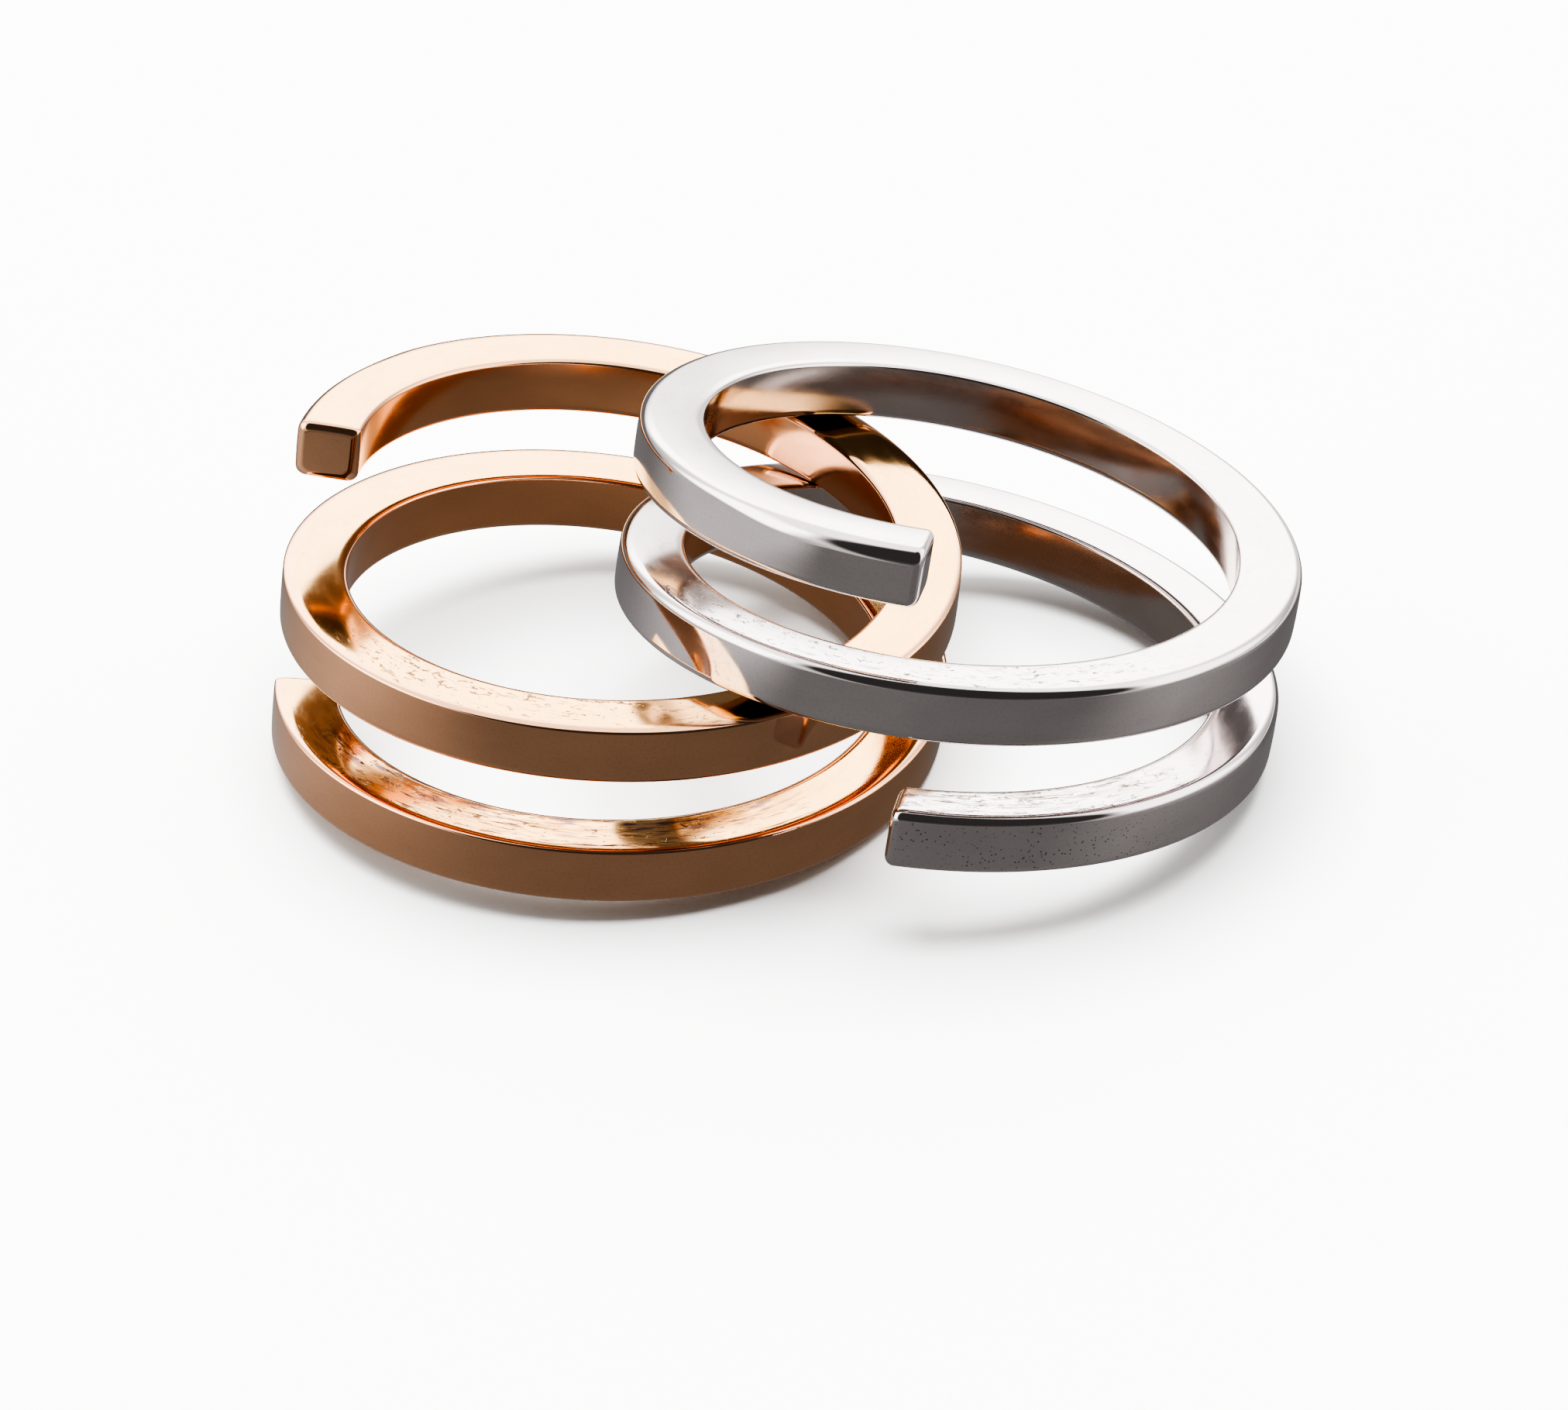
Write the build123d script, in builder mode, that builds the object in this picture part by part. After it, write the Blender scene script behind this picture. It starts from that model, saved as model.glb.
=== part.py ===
"""A pair of matching spiral finger rings, one coil threaded through the other.

Each ring is one square wire wound into a right-handed coil of almost two turns.
The gap between the turns is a little wider than the wire, so each ring's wire
passes through the gap of the other, and the two can be screwed together into one
four-row band. Here they lie half apart on a table, crossing like two links.

Millimetres, +Z up from the table, which is the plane Z = 0.
"""

import os

from build123d import *

# The ring that both pieces share.
outer_diameter = 20.9
wire_width = 2.0        # across the wire, from the finger side to the outside
wire_height = 1.94      # along the finger
edge_radius = 0.35      # the four long edges of the wire
tip_radius = 0.3        # the edges round each cut end
pitch = 4.22            # rise per turn: two wires plus the running clearance

# How far each coil goes round, in turns.
rose_turns = 1.983
white_turns = 1.996

# Where each ring lies: the middle of its coil, and its lean about X and then Y.
# The last angle turns the ring about its own axis to put its lower tip there.
rose_seat = Location((-5.108, 0.758, 4.14), (-3.47, 6.49, 178.1))
white_seat = Location((5.425, -0.357, 5.971), (-9.2, 9.52, 260.1))

coil_radius = (outer_diameter - wire_width) / 2


def wound_ring(turns):
    """One square wire wound about Z, with its lower tip on the X axis."""
    rise = pitch * turns
    with BuildPart() as ring:
        with BuildLine():
            Helix(pitch=pitch, height=rise, radius=coil_radius, center=(0, 0, -rise / 2))
        # The wire's section stands upright in the plane through the ring's axis.
        tip_plane = Plane(origin=(coil_radius, 0, -rise / 2), x_dir=(1, 0, 0), z_dir=(0, 1, 0))
        with BuildSketch(tip_plane):
            RectangleRounded(wire_width, wire_height, edge_radius)
        sweep(is_frenet=True)
        # Soften the rim of both cut ends, which are the coil's only flat faces.
        tip_faces = ring.faces().filter_by(GeomType.PLANE)
        fillet(tip_faces.edges(), radius=tip_radius)
    return ring


os.makedirs("parts", exist_ok=True)

rose_ring = wound_ring(rose_turns)
rose_ring.part.locate(rose_seat)
rose_ring.part.label = "rose_ring"
export_step(rose_ring.part, "parts/rose_ring.step")

white_ring = wound_ring(white_turns)
white_ring.part.locate(white_seat)
white_ring.part.label = "white_ring"
export_step(white_ring.part, "parts/white_ring.step")
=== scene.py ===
"""Looks for the pair of spiral finger rings: worn, polished rose and white gold on a pale studio table.

Everything is in metres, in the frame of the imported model, with the table at Z = 0. Each ring is wound
again here from the dimensions of its CAD solid, as an even mesh that mirrors cleanly.
"""

import math

import bpy
from mathutils import Euler, Matrix, Vector


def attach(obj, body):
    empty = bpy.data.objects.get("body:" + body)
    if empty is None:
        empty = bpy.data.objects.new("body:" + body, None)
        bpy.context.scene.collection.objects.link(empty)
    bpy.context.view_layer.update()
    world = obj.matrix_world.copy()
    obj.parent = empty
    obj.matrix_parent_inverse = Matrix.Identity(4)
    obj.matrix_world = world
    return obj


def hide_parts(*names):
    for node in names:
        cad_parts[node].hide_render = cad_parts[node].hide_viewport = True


MM = 0.001

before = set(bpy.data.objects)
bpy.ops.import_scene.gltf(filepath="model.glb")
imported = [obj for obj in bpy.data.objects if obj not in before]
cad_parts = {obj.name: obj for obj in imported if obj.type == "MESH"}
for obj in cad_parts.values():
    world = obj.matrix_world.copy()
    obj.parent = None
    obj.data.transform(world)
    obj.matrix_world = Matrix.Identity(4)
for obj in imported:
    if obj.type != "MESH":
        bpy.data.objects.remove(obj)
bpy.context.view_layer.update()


# ------------------------------------------------------------------- the rings

# The wire and the coil, in millimetres, as in the CAD.
OUTER_DIAMETER = 20.9
WIRE_WIDTH = 2.0        # across the wire, from the finger side to the outside
WIRE_HEIGHT = 1.94      # along the finger
TIP_RADIUS = 0.3        # the edges round each cut end
PITCH = 4.22            # rise per turn
COIL_RADIUS = (OUTER_DIAMETER - WIRE_WIDTH) / 2
TURN_LENGTH = 2 * math.pi * COIL_RADIUS

# What polishing made of the wire's section, in millimetres. A rounding goes this far (across, up).
LOWER_EDGE = (0.32, 0.32)
INNER_TOP_EDGE = (0.35, 0.14)
FLAT_WIDTH = 1.34       # usual width of a flat between its rounded edges
CROWN = 0.012           # how much further out each flat is in its middle than at its edges

# The outer top edge takes its upper end's rounding between these distances from that end.
END_STRETCH = (7.0, 4.0)

# How finely the mesh is divided.
FLAT_STEPS = 6
EDGE_STEPS = 12
TIP_STEPS = 8
STEPS_PER_TURN = 240


def wire_section(edges):
    """Points round the wire's section, each with its outward direction, both as (across, up).
    edges gives the rounding's extent (across, up) at the outer top, inner top, inner bottom
    and outer bottom edge."""
    edge_slope = 4 * CROWN / FLAT_WIDTH
    arcs = []
    for corner, (wide, tall) in enumerate(edges):
        beside = math.atan(edge_slope * tall / wide)
        above = math.atan(edge_slope * wide / tall)
        first, last = (beside, above) if corner % 2 == 0 else (above, beside)
        centre = Vector((
            (WIRE_WIDTH / 2 - CROWN - wide * math.cos(beside)) * (1, -1, -1, 1)[corner],
            (WIRE_HEIGHT / 2 - CROWN - tall * math.cos(above)) * (1, 1, -1, -1)[corner],
        ))
        arc = []
        for step in range(EDGE_STEPS + 1):
            angle = math.pi / 2 * corner + first + (math.pi / 2 - first - last) * step / EDGE_STEPS
            ray = Vector((math.cos(angle), math.sin(angle)))
            outward = Vector((ray.x / wide, ray.y / tall)).normalized()
            arc.append((centre + Vector((wide * ray.x, tall * ray.y)), outward))
        arcs.append(arc)
    points = []
    for corner, arc in enumerate(arcs):
        points += arc
        here = arc[-1][0]
        flat = arcs[(corner + 1) % 4][0][0] - here
        along = flat.normalized()
        outward = Vector((along.y, -along.x))
        for step in range(1, FLAT_STEPS):
            share = step / FLAT_STEPS
            slope = 4 * CROWN * (1 - 2 * share) / flat.length
            bulge = 4 * CROWN * share * (1 - share)
            spot = here + share * flat + bulge * outward
            points.append((spot, (outward - slope * along).normalized()))
    return points


def stations(turns):
    """Stops along the wire as (angle, shrink, lean): the section shrinks a little round each cut end,
    where the surface leans from facing sideways, 0, to facing along the wire, -1 or 1."""
    whole = 2 * math.pi * turns
    tip = TIP_RADIUS / COIL_RADIUS
    steps = round(STEPS_PER_TURN * turns)
    middle = [(tip + (whole - 2 * tip) * step / steps, 1.0, 0.0) for step in range(steps + 1)]
    first, last = [], []
    for step in range(1, TIP_STEPS + 1):
        lean = math.sin(math.pi / 2 * step / TIP_STEPS)
        shrink = 1 - TIP_RADIUS * (1 - math.sqrt(1 - lean**2)) / (WIRE_WIDTH / 2)
        first.append((tip * (1 - lean), shrink, -lean))
        last.append((whole - tip * (1 - lean), shrink, lean))
    return first[::-1] + middle + last


def smooth_step(start, end, value):
    """0 at start and 1 at end, whichever of the two is larger."""
    share = min(max((value - start) / (end - start), 0), 1)
    return share * share * (3 - 2 * share)


def wound_ring(name, turns, place, turn, outer_top, upper_end):
    """One ring. Its mesh keeps "wire", each point's millimetres along, across and up the wire. Its
    outer top edge is rounded by outer_top, and by upper_end near the upper end of the wire."""
    climb = PITCH / (2 * math.pi)
    middle = Vector((0, 0, -turns * PITCH / 2))
    rotation = Euler([math.radians(angle) for angle in turn], "ZYX").to_matrix()
    points, normals, wire = [], [], []
    for angle, shrink, lean in stations(turns):
        radial = Vector((math.cos(angle), math.sin(angle), 0))
        around = Vector((-math.sin(angle), math.cos(angle), 0))
        left = COIL_RADIUS * (2 * math.pi * turns - angle)
        edge = Vector(outer_top).lerp(upper_end, smooth_step(*END_STRETCH, left))
        section = wire_section((edge, INNER_TOP_EDGE, LOWER_EDGE, LOWER_EDGE))
        for spot, outward in section:
            across, up = shrink * spot
            point = middle + (COIL_RADIUS + across) * radial + Vector((0, 0, up + climb * angle))
            points.append((rotation @ point + Vector(place)) * MM)
            run = (COIL_RADIUS + across) * around + Vector((0, 0, climb))
            sideways = run.cross(Vector((0, 0, outward.x)) - outward.y * radial).normalized()
            normal = math.sqrt(1 - lean**2) * sideways + lean * around
            normals.append(rotation @ normal.normalized())
            wire.extend((COIL_RADIUS * angle, across, up))
    count = len(section)
    rows = len(points) // count
    faces = [tuple(range(count)), tuple(range((rows - 1) * count, rows * count))[::-1]]
    for row in range(rows - 1):
        for column in range(count):
            near = row * count + column
            far = row * count + (column + 1) % count
            faces.append((near, near + count, far + count, far))
    mesh = bpy.data.meshes.new(name)
    mesh.from_pydata(points, [], faces)
    mesh.attributes.new("wire", "FLOAT_VECTOR", "POINT").data.foreach_set("vector", wire)
    mesh.shade_smooth()
    mesh.normals_split_custom_set_from_vertices(normals)
    ring = bpy.data.objects.new(name, mesh)
    bpy.context.scene.collection.objects.link(ring)
    return ring


# ---------------------------------------------------------------- node helpers

class Tree:
    """A short way to add nodes: each call returns the new node's output."""

    def __init__(self, owner):
        owner.use_nodes = True
        self.nodes = owner.node_tree.nodes
        self.links = owner.node_tree.links
        self.nodes.clear()

    def add(self, kind, inputs=None, out=0, **settings):
        node = self.nodes.new(kind)
        for name, value in settings.items():
            setattr(node, name, value)
        for name, value in (inputs or {}).items():
            self.feed(node.inputs[name], value)
        return node.outputs[out]

    def feed(self, socket, value):
        if isinstance(value, bpy.types.NodeSocket):
            self.links.new(value, socket)
        else:
            socket.default_value = value

    def split(self, vector):
        return self.add("ShaderNodeSeparateXYZ", {0: vector}).node.outputs

    def math(self, operation, *values):
        return self.add("ShaderNodeMath", dict(enumerate(values)), operation=operation)

    def vector_math(self, operation, *values, out=0):
        return self.add("ShaderNodeVectorMath", dict(enumerate(values)), out, operation=operation)

    def product(self, *factors):
        total = factors[0]
        for factor in factors[1:]:
            total = self.math("MULTIPLY", total, factor)
        return total

    def ramp(self, value, low, high, start=0.0, end=1.0):
        """A smooth step: start at low, end at high, whichever of the two is larger."""
        if low > high:
            low, high, start, end = high, low, end, start
        inputs = {"Value": value, "From Min": low, "From Max": high, "To Min": start, "To Max": end}
        return self.add("ShaderNodeMapRange", inputs, interpolation_type="SMOOTHSTEP")

    def between(self, value, low, high, soft):
        """1 between low and high, and 0 outside."""
        rise = self.ramp(value, low - soft, low + soft)
        return self.product(rise, self.ramp(value, high + soft, high - soft))

    def noise(self, vector, scale, detail=2.0, out=0):
        return self.add("ShaderNodeTexNoise", {"Vector": vector, "Scale": scale, "Detail": detail}, out)

    def drawn_noise(self, wire, along, around, detail=2.0):
        """Noise with about this many blots to the millimetre along the wire and round it."""
        drawn = self.vector_math("MULTIPLY", wire, (along, around, around))
        return self.noise(drawn, 1.0, detail)

    def mix_numbers(self, share, a, b):
        return self.add("ShaderNodeMix", {0: share, 2: a, 3: b})

    def mix_colours(self, share, a, b):
        return self.add("ShaderNodeMix", {0: share, 6: a, 7: b}, out=2, data_type="RGBA")

    def finish(self, shader, kind="ShaderNodeOutputMaterial"):
        self.links.new(shader, self.nodes.new(kind).inputs["Surface"])


def rgb(red, green, blue):
    return (red, green, blue, 1.0)


# ------------------------------------------------------------------ the metals

def on_flat(tree, position, size, side):
    """1 on the flat at one side, -1 or 1, of a wire of this size, and 0 from a little below it."""
    return tree.ramp(position, side * (size / 2 - 0.05), side * (size / 2 - 0.015))


def scratches(tree, wire):
    """Fine lines, mostly along the wire, and among them some short, bent and deeper ones."""
    field = tree.drawn_noise(wire, 0.55, 3.2, detail=3.0)
    off_line = tree.math("ABSOLUTE", tree.math("SUBTRACT", field, 0.5))
    fine_patch = tree.ramp(tree.drawn_noise(wire, 1.6, 4.0), 0.47, 0.58, 0.0, 0.6)
    fine = tree.product(tree.ramp(off_line, 0.024, 0.006), fine_patch)

    wobble = tree.noise(wire, 2.5, detail=3.0, out=1)
    bent = tree.vector_math("MULTIPLY_ADD", wobble, (0.55, 0.55, 0.55), wire)
    cells = tree.vector_math("MULTIPLY", bent, (1.8, 3.4, 3.4))
    off_edge = tree.add(
        "ShaderNodeTexVoronoi", {"Vector": cells, "Scale": 1.0}, feature="DISTANCE_TO_EDGE"
    )
    deep_patch = tree.ramp(tree.drawn_noise(wire, 1.5, 3.4), 0.58, 0.64, 0.0, 0.85)
    deep = tree.product(tree.ramp(off_edge, 0.10, 0.04), deep_patch)
    return tree.math("MAXIMUM", fine, deep)


def pits(tree, wire, scale, share, radius):
    """Round pits in a share of the cells of a random pattern, with about scale cells to the
    millimetre. The radius is in cells."""
    cell = tree.add("ShaderNodeTexVoronoi", {"Vector": wire, "Scale": scale})
    chosen = tree.ramp(tree.split(cell.node.outputs["Color"])[0], share, share - 0.05)
    return tree.product(tree.ramp(cell, radius, radius / 2), chosen)


def tarnish(tree, wire, base, where, film_colour, stain_colour):
    """The base colour with a thin film and darker stains on it."""
    film = tree.ramp(tree.drawn_noise(wire, 0.45, 1.6, detail=4.0), 0.38, 0.60)
    stain = tree.ramp(tree.drawn_noise(wire, 0.91, 5.2, detail=5.0), 0.52, 0.62)
    base = tree.mix_colours(tree.product(where, film), base, film_colour)
    return tree.mix_colours(tree.product(where, stain), base, stain_colour)


def polished_gold(name, colours, scratched, tarnished, speckled=None):
    """Mirror-polished gold with wear. The stretches of the wire that are scratched, tarnished or
    speckled are (first, last), in turns from the wire's lower end."""
    material = bpy.data.materials.new(name)
    tree = Tree(material)
    wire = tree.add("ShaderNodeAttribute", out=1, attribute_name="wire")
    along, across, up = tree.split(wire)
    turn = tree.math("DIVIDE", along, TURN_LENGTH)
    top = on_flat(tree, up, WIRE_HEIGHT, 1)
    outside = on_flat(tree, across, WIRE_WIDTH, 1)
    inside = on_flat(tree, across, WIRE_WIDTH, -1)

    cloud = tree.ramp(tree.drawn_noise(wire, 0.45, 0.9, detail=4.0), 0.35, 0.7, 0.0, 0.06)
    # Painted light: the top takes a yellower copy of the colour for the tint of the light from above,
    # and the inside a darker, warmer copy as painted shade.
    base = tree.mix_colours(top, colours["side"], colours["top"])
    base = tree.mix_colours(inside, base, colours["inside"])
    base = tree.mix_colours(cloud, base, colours["soil"])

    # Scratches and pits on top: a few everywhere, and more in the scratched stretches.
    wear = 0.12
    for first, last in scratched:
        wear = tree.math("MAXIMUM", wear, tree.between(turn, first, last, 0.03))
    scratch = tree.product(scratches(tree, wire), top, wear)
    pit = tree.product(pits(tree, wire, scale=5.0, share=0.3, radius=0.2), top, wear)

    # Tarnish on top, most of all towards the finger, with dark streaks in it.
    stretch = tree.product(tree.between(turn, *tarnished, 0.035), top)
    where = tree.product(stretch, tree.ramp(across, 0.5, -0.5, 0.4, 1.0))
    base = tarnish(tree, wire, base, where, colours["film"], colours["stain"])
    streak = tree.ramp(tree.drawn_noise(wire, 0.9, 13.0, detail=3.0), 0.60, 0.68)
    scratch = tree.math("MAXIMUM", scratch, tree.product(stretch, streak))

    # Speckles on the outer wall.
    if speckled:
        stretch = tree.product(tree.between(turn, *speckled, 0.04), outside)
        crowd = tree.ramp(tree.noise(wire, 0.8), 0.35, 0.6, 0.3, 1.0)
        speckle = tree.product(pits(tree, wire, scale=8.5, share=0.7, radius=0.28), stretch, crowd)
        pit = tree.math("MAXIMUM", pit, speckle)

    # Soil fills the marks, and a fine grain of it lies everywhere.
    mark = tree.math("MAXIMUM", scratch, tree.math("MULTIPLY", pit, 0.75))
    grain = tree.ramp(tree.noise(wire, 11.0), 0.45, 0.75, 0.0, 0.06)
    base = tree.mix_colours(tree.math("MAXIMUM", mark, grain), base, colours["soil"])

    # The outer wall is the best polished. The top is rougher, the inside more so, and marks most.
    roughness = tree.ramp(tree.drawn_noise(wire, 0.66, 2.2, detail=5.0), 0.4, 0.75, 0.05, 0.10)
    for where, more in ((top, 0.06), (inside, 0.08), (mark, 0.2)):
        roughness = tree.math("MULTIPLY_ADD", where, more, roughness)

    # The relief in millimetres: slow swells, brushing along the wire, and marks sunk into it.
    swell = tree.drawn_noise(wire, 0.4, 0.8, detail=1.0)
    brushing = tree.drawn_noise(wire, 1.0, 30.0)
    height = tree.math("MULTIPLY", brushing, 0.00015)
    height = tree.math("MULTIPLY_ADD", swell, 0.004, height)
    height = tree.math("MULTIPLY_ADD", mark, -0.002, height)
    bump = tree.add("ShaderNodeBump", {"Height": height, "Distance": MM})

    shader = tree.add(
        "ShaderNodeBsdfPrincipled",
        {"Base Color": base, "Metallic": 1.0, "Roughness": roughness, "Normal": bump},
    )
    tree.finish(shader)
    return material


# The rings by body, lying as in the CAD. place is the middle of the coil, in millimetres. turn leans it
# about X and then Y, and turns it about its own axis, in degrees.
RINGS = {
    "rose": {
        "shape": {
            "turns": 1.983,
            "place": (-5.108, 0.758, 4.14),
            "turn": (-3.47, 6.49, 178.1),
            "outer_top": (0.45, 0.14),
            "upper_end": (0.35, 0.35),
        },
        "look": {
            "colours": {
                # top and inside are lit and shaded copies of the side colour: a painted yellow tint of
                # the light from above on top, painted shade inside.
                "top": rgb(0.96, 0.60, 0.295),
                "side": rgb(0.95, 0.56, 0.355),
                "inside": rgb(0.96, 0.50, 0.28),
                "soil": rgb(0.10, 0.045, 0.025),
                "film": rgb(0.68, 0.34, 0.11),
                "stain": rgb(0.30, 0.17, 0.16),
            },
            "scratched": ((0.05, 0.33), (1.09, 1.30)),
            "tarnished": (0.06, 0.36),
        },
    },
    "white": {
        "shape": {
            "turns": 1.996,
            "place": (5.425, -0.357, 5.971),
            "turn": (-9.2, 9.52, 260.1),
            "outer_top": (0.38, 0.34),
            "upper_end": (0.55, 0.55),
        },
        "look": {
            "colours": {
                # top and inside are lit and shaded copies of the side colour: a painted tint of the
                # light from above on top, a darker, warmer painted shade inside.
                "top": rgb(0.83, 0.775, 0.77),
                "side": rgb(0.83, 0.77, 0.765),
                "inside": rgb(0.75, 0.65, 0.61),
                "soil": rgb(0.075, 0.055, 0.045),
                "film": rgb(0.60, 0.52, 0.48),
                "stain": rgb(0.30, 0.24, 0.21),
            },
            "scratched": ((-0.05, 0.16), (0.83, 1.12)),
            "tarnished": (-0.05, 0.14),
            "speckled": (-0.02, 0.13),
        },
    },
}

for body, ring in RINGS.items():
    piece = wound_ring(body + "_wire", **ring["shape"])
    piece.data.materials.append(polished_gold(body + "_gold", **ring["look"]))
    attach(piece, body)
    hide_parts(body + "_ring")


# ----------------------------------------------------------- table and light

TABLE_SIZE = 4.0


def stage_plane(name, height, material):
    """A square of the set, level at the given height, that isn't part of the object."""
    bpy.ops.mesh.primitive_plane_add(size=TABLE_SIZE, location=(0, 0, height))
    plane = bpy.context.object
    plane.name = name
    plane.data.materials.append(material)
    return plane


def table_material():
    material = bpy.data.materials.new("table")
    tree = Tree(material)
    pale = {"Base Color": rgb(0.9, 0.9, 0.9), "Roughness": 0.9}
    tree.finish(tree.add("ShaderNodeBsdfPrincipled", pale))
    return material


def table_reflection_material():
    """What the metal sees of the table: dim in front, and lighter beside and behind the rings."""
    # Painted reflection: a glowing plane whose levels stand in for the table's light and shade as the
    # metal sees it, dim in front as painted shade, lighter beside and behind the rings as painted
    # light.
    material = bpy.data.materials.new("painted_table_reflection")
    tree = Tree(material)
    right, back, _ = tree.split(tree.add("ShaderNodeNewGeometry"))
    level = tree.ramp(right, 0.008, -0.012, 0.168, 0.190)
    # Painted light: glows on the plane beside the rings.
    painted_glows = (
        # side, how far back its middle is, where it starts and is full in metres from there, level
        (-1, -0.002, -0.007, 0.032, 0.33),
        (1, -0.012, 0.002, 0.026, 0.14),
    )
    for side, middle, start, full, glow in painted_glows:
        off_middle = tree.math("ABSOLUTE", tree.math("SUBTRACT", back, middle))
        reach = tree.math("MULTIPLY_ADD", off_middle, -1.2, tree.math("MULTIPLY", right, side))
        level = tree.math("MULTIPLY_ADD", tree.ramp(reach, start, full), glow, level)
    behind = tree.product(tree.ramp(back, 0.010, 0.025), tree.ramp(right, -0.005, 0.020))
    level = tree.math("MULTIPLY_ADD", behind, 0.7, level)
    tree.finish(tree.add("ShaderNodeEmission", {"Color": rgb(1, 0.985, 0.975), "Strength": level}))
    return material


# The camera sees the pale table, and the metal sees a glowing plane just below it instead: a painted
# reflection of the table, with painted light and shade.
table = stage_plane("table", 0.0, table_material())
table.visible_glossy = False

reflection = stage_plane("painted_table_reflection", -0.01 * MM, table_reflection_material())
reflection.visible_camera = False
reflection.visible_diffuse = False
reflection.visible_shadow = False


def toward(azimuth, elevation):
    """The direction at this angle round from the back towards the right, and above the table."""
    azimuth, elevation = math.radians(azimuth), math.radians(elevation)
    return (
        math.sin(azimuth) * math.cos(elevation),
        math.cos(azimuth) * math.cos(elevation),
        math.sin(elevation),
    )


def studio_world():
    """A light tent with a lit back and lit sides, open and dark towards the front."""
    world = bpy.data.worlds.new("studio")
    bpy.context.scene.world = world
    tree = Tree(world)
    direction = tree.add("ShaderNodeTexCoord", out=0)
    right, back, up = tree.split(direction)
    azimuth = tree.math("DEGREES", tree.math("ARCTAN2", right, back))
    elevation = tree.math("DEGREES", tree.math("ARCSINE", up))

    light = tree.ramp(elevation, -5, 55, 0.45, 1.5)
    panels = (
        # azimuth of the middle, half width, lower and upper edge, all in degrees, and level
        (2, 28, 6, 46, 2.9),
        (-84, 30, 12, 50, 2.7),
        (82, 30, 10, 46, 2.0),
    )
    for middle, half_width, low, high, level in panels:
        panel = tree.product(
            tree.between(azimuth, middle - half_width, middle + half_width, 8),
            tree.ramp(elevation, low - 10, low + 9),
            tree.ramp(elevation, high + 8, high - 6),
        )
        light = tree.mix_numbers(panel, light, level)

    # The opening is round, and its soft rim is 46 to 58 degrees from its middle.
    facing = tree.vector_math("DOT_PRODUCT", direction, toward(172, 42), out=1)
    tent = tree.ramp(facing, math.cos(math.radians(46)), math.cos(math.radians(58)))
    room = tree.ramp(elevation, 0, 20, 0.18, 0.065)
    light = tree.mix_numbers(tent, room, light)
    glow = tree.add("ShaderNodeBackground", {"Color": rgb(1, 0.985, 0.96), "Strength": light})
    tree.finish(glow, "ShaderNodeOutputWorld")


def table_light():
    """Fills the table to a pale tone. The metal doesn't see it."""
    light = bpy.data.lights.new("table_light", "AREA")
    light.size = 0.5
    light.energy = 9.0
    lamp = bpy.data.objects.new("table_light", light)
    bpy.context.scene.collection.objects.link(lamp)
    lamp.location = (0, 0.1, 0.6)
    lamp.visible_glossy = False


studio_world()
table_light()


# --------------------------------------------------------------------- camera

def front_camera():
    """Looks down along +Y with a long lens, aimed a little in front of and below the rings' middle."""
    elevation = math.radians(34.37)
    roll = math.radians(1.265)
    distance = 0.24456
    aim = Vector((0.0, -0.0025, 0.00284))
    back = Vector((0, -math.cos(elevation), math.sin(elevation)))
    data = bpy.data.cameras.new("camera")
    data.sensor_width = 36.0
    data.lens = 182.4
    data.clip_start = 0.01
    camera = bpy.data.objects.new("camera", data)
    camera.location = aim + distance * back
    upright = back.to_track_quat("Z", "Y").to_matrix()
    camera.rotation_euler = (upright @ Matrix.Rotation(-roll, 3, "Z")).to_euler()
    bpy.context.scene.collection.objects.link(camera)
    bpy.context.scene.camera = camera


front_camera()
view = bpy.context.scene.view_settings
view.view_transform = "AgX"
view.look = "AgX - Very High Contrast"
